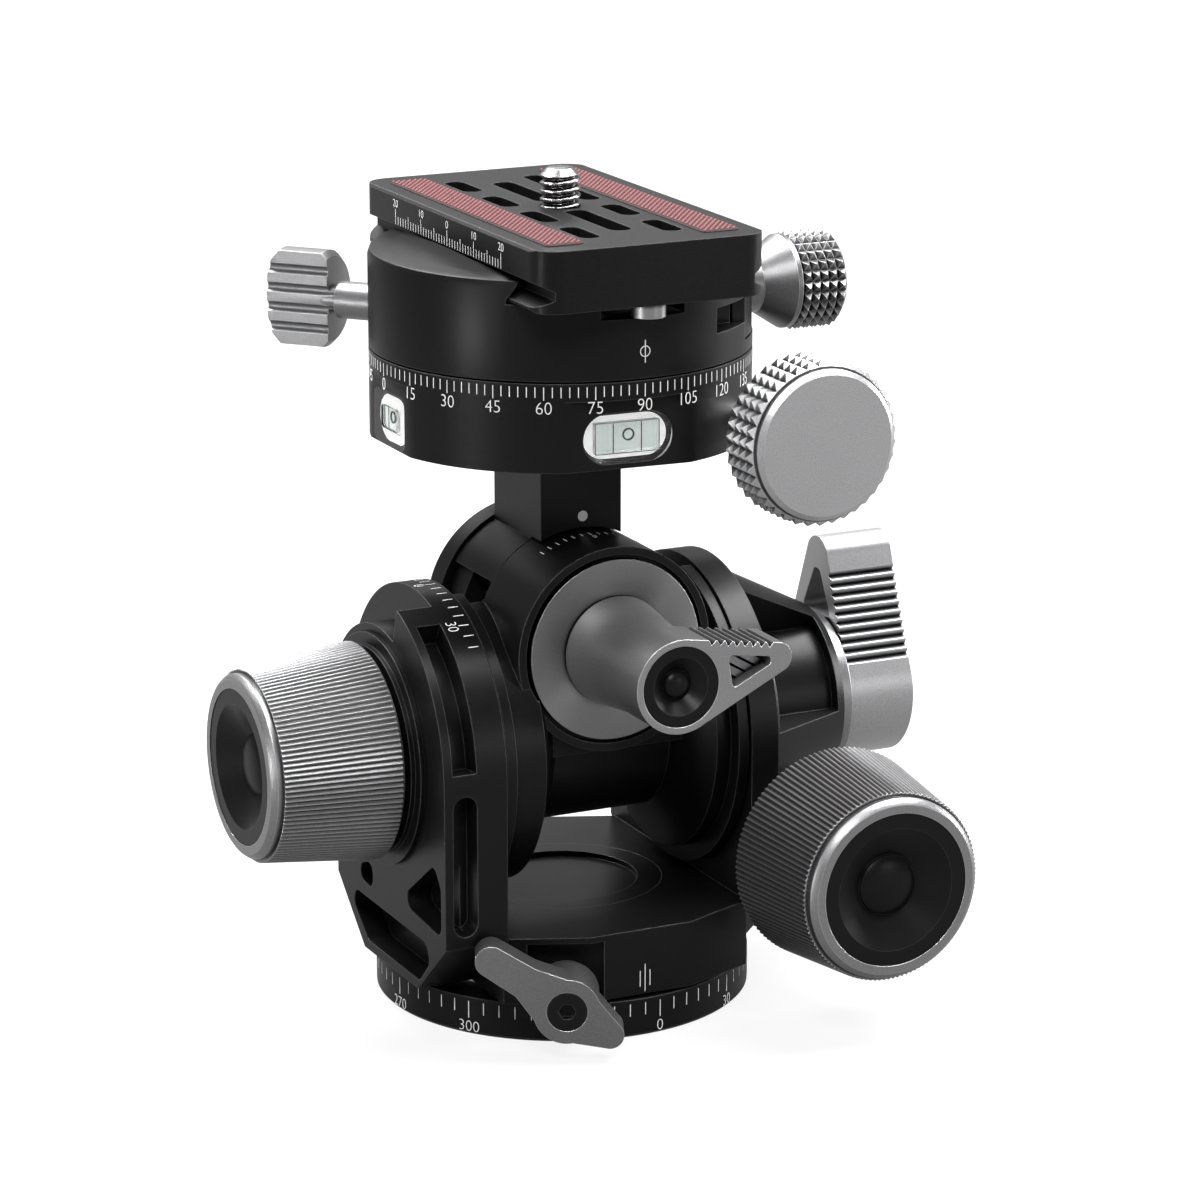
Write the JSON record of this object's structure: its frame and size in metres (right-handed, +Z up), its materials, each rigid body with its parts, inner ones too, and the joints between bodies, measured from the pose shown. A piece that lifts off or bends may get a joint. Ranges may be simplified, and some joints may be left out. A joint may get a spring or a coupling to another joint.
{
  "type": "geared tripod head",
  "caption": "Compact geared head for a camera support: geared tilt and roll with clutch levers under a geared panning clamp that holds a dovetail plate",
  "frame": {"origin": "centre of the base's underside, where the tripod screw enters", "axes": "+Z up through the base, +X to the right towards the upright clutch lever, +Y to the back, so the front clutch lever and the front fluted knob face -Y"},
  "size_m": [0.1132, 0.0924, 0.1328],
  "materials": {
    "black_metal": "fine satin black anodise",
    "black_cap": "satin",
    "grey_metal": "satin titanium-grey anodise",
    "steel": "bright stainless",
    "brass": "machined",
    "bronze_wheel": "machined bronze",
    "washer": "smooth",
    "clear": "clear acrylic",
    "vial": "liquid in a clear tube",
    "red_pad": "woven dusty red"
  },
  "bodies": {
    "base": {"base_disc": "black_metal", "pan_washer": "washer", "pan_retainer": "steel", "retainer_screws": "steel"},
    "yoke_body": {"yoke": "black_metal", "floor_cap": "black_metal", "pan_brake_shoe": "brass", "trunnion_bushes": "brass", "roll_knob_collar": "black_metal", "tilt_gear_housing": "black_metal", "tilt_clutch_ring": "grey_metal", "tilt_worm_bushes": "brass"},
    "pan_lock": {"pan_lock_lever": "grey_metal", "pan_lock_screw": "black_metal"},
    "tilt_drive": {"tilt_worm": "steel", "tilt_knob": "grey_metal", "tilt_knob_cap": "black_cap"},
    "tilt_lock": {"tilt_lock_lever": "grey_metal", "tilt_lock_cap": "black_cap", "tilt_lock_stud": "steel"},
    "cross": {"cross_body": "black_metal", "front_cover": "black_metal", "rear_cover": "black_metal", "roll_bushes": "brass", "tilt_worm_wheel": "bronze_wheel", "tilt_clutch_plate": "steel", "roll_worm_bushes": "brass"},
    "roll_drive": {"roll_worm": "steel", "roll_knob": "grey_metal", "roll_knob_cap": "black_cap"},
    "roll_lock": {"roll_lock_lever": "grey_metal", "roll_lock_cap": "black_cap", "roll_lock_stud": "steel"},
    "rotator": {"roll_hub": "black_metal", "roll_worm_wheel": "bronze_wheel", "rotator_base": "black_metal", "front_level": "clear", "front_level_vial": "vial", "left_level": "clear", "left_level_vial": "vial", "pan_worm_bush": "brass", "turret_post": "steel", "post_cap": "steel", "post_screw": "black_metal", "rotator_bearing": "brass"},
    "turret_drive": {"pan_worm": "steel", "pan_knob": "grey_metal"},
    "turret_body": {"turret": "black_metal", "turret_worm_wheel": "bronze_wheel", "turret_brake_shoe": "brass", "jaw_guide_pins": "steel", "clamp_springs": "steel"},
    "turret_lock": {"turret_lock_knob": "grey_metal"},
    "jaw": {"clamp_jaw": "black_metal"},
    "clamp_drive": {"clamp_screw": "steel", "clamp_knob": "grey_metal"},
    "plate_body": {"plate": "black_metal", "plate_pads": "red_pad", "stop_screws": "steel"},
    "camera_screw_body": {"camera_screw": "steel"}
  },
  "joints": [
    {"name": "pan", "type": "hinge", "parent": "base", "child": "yoke_body", "pos_m": [0, 0, 0.01], "axis": [0, 0, 1], "continuous": true},
    {"name": "pan_clamp", "type": "hinge", "parent": "yoke_body", "child": "pan_lock", "pos_m": [-0.0122, -0.02741, 0.0086], "axis": [-0.4067, -0.9135, 0], "range_deg": [0, 55]},
    {"name": "tilt", "type": "hinge", "parent": "yoke_body", "child": "cross", "pos_m": [0, 0, 0.0431], "axis": [1, 0, 0], "range_deg": [-40, 25]},
    {"name": "tilt_gear", "type": "hinge", "parent": "yoke_body", "child": "tilt_drive", "pos_m": [0.0327, 0, 0.0259], "axis": [0, 1, 0], "range_deg": [-1201, 1921]},
    {"name": "tilt_clutch", "type": "hinge", "parent": "yoke_body", "child": "tilt_lock", "pos_m": [0.052, 0, 0.0431], "axis": [1, 0, 0], "range_deg": [0, 75]},
    {"name": "roll", "type": "hinge", "parent": "cross", "child": "rotator", "pos_m": [0, 0, 0.0603], "axis": [0, 1, 0], "range_deg": [-30, 30]},
    {"name": "roll_gear", "type": "hinge", "parent": "cross", "child": "roll_drive", "pos_m": [-0.04, 0, 0.0431], "axis": [1, 0, 0], "range_deg": [-1441, 1441]},
    {"name": "roll_clutch", "type": "hinge", "parent": "cross", "child": "roll_lock", "pos_m": [0, -0.03, 0.0603], "axis": [0, -1, 0], "range_deg": [0, 90]},
    {"name": "turret_pan", "type": "hinge", "parent": "rotator", "child": "turret_body", "pos_m": [0, 0, 0.1053], "axis": [0, 0, 1], "range_deg": [-30, 120]},
    {"name": "turret_gear", "type": "hinge", "parent": "rotator", "child": "turret_drive", "pos_m": [0.0246, -0.03, 0.0951], "axis": [0, 1, 0], "range_deg": [-10801, 2701]},
    {"name": "turret_clamp", "type": "hinge", "parent": "turret_body", "child": "turret_lock", "pos_m": [-0.02677, 0.02973, 0.109], "axis": [-0.6691, 0.7431, 0], "range_deg": [0, 120]},
    {"name": "jaw_slide", "type": "slide", "parent": "turret_body", "child": "jaw", "axis": [1, 0, 0], "range_m": [0, 0.003]},
    {"name": "clamp_turn", "type": "hinge", "parent": "jaw", "child": "clamp_drive", "pos_m": [0.04, 0, 0.1116], "axis": [1, 0, 0], "range_deg": [0, 1081]},
    {"name": "plate_slide", "type": "slide", "parent": "turret_body", "child": "plate_body", "axis": [0, 1, 0], "range_m": [-0.015, 0.015]},
    {"name": "camera_screw_turn", "type": "hinge", "parent": "plate_body", "child": "camera_screw_body", "pos_m": [0, 0, 0.125], "axis": [0, 0, 1], "continuous": true}
  ],
  "couplings": [
    {"joint": "tilt_gear", "follows": "tilt", "ratio": -48},
    {"joint": "roll_gear", "follows": "roll", "ratio": 48},
    {"joint": "turret_gear", "follows": "turret_pan", "ratio": -90},
    {"joint": "clamp_turn", "follows": "jaw_slide", "rad_per_m": 6283}
  ]
}
